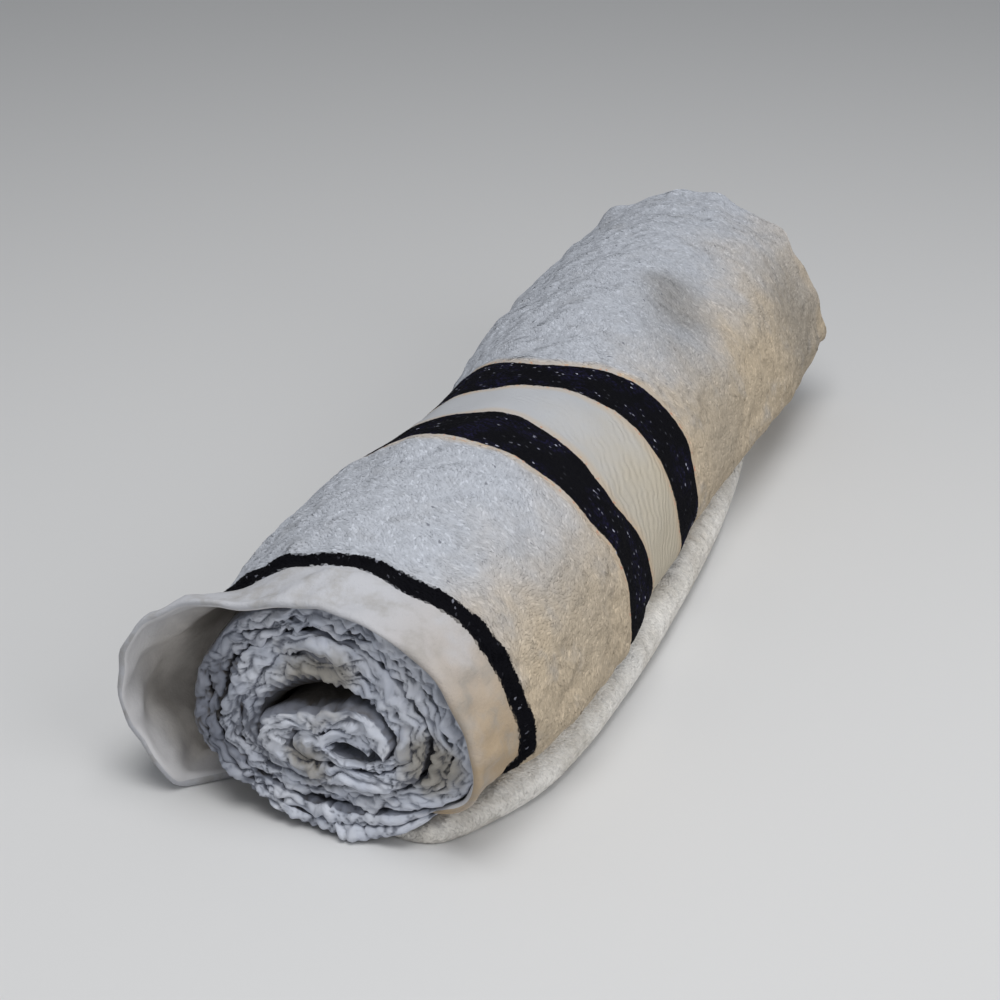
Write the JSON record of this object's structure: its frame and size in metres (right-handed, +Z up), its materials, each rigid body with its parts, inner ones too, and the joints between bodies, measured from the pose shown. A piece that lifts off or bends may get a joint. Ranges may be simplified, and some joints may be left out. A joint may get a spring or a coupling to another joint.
{
  "type": "rolled bath towel",
  "caption": "Bath towel folded lengthwise and rolled up on its side, with a flat hem, dark woven border stripes, a loose corner flap at one end and a rounded lip on the floor.",
  "frame": {"origin": "on the floor, under the middle of the roll's bounding box", "axes": "+Y along the roll, away from the hemmed end; +X to the right seen from the hemmed end; +Z up"},
  "size_m": [0.1798, 0.4692, 0.1188],
  "materials": {
    "terry": "washed white cotton terry with flat woven black stripes, a smooth flat hem and warm yellowed patches"
  },
  "bodies": {
    "root": {"towel": "terry"}
  },
  "joints": []
}
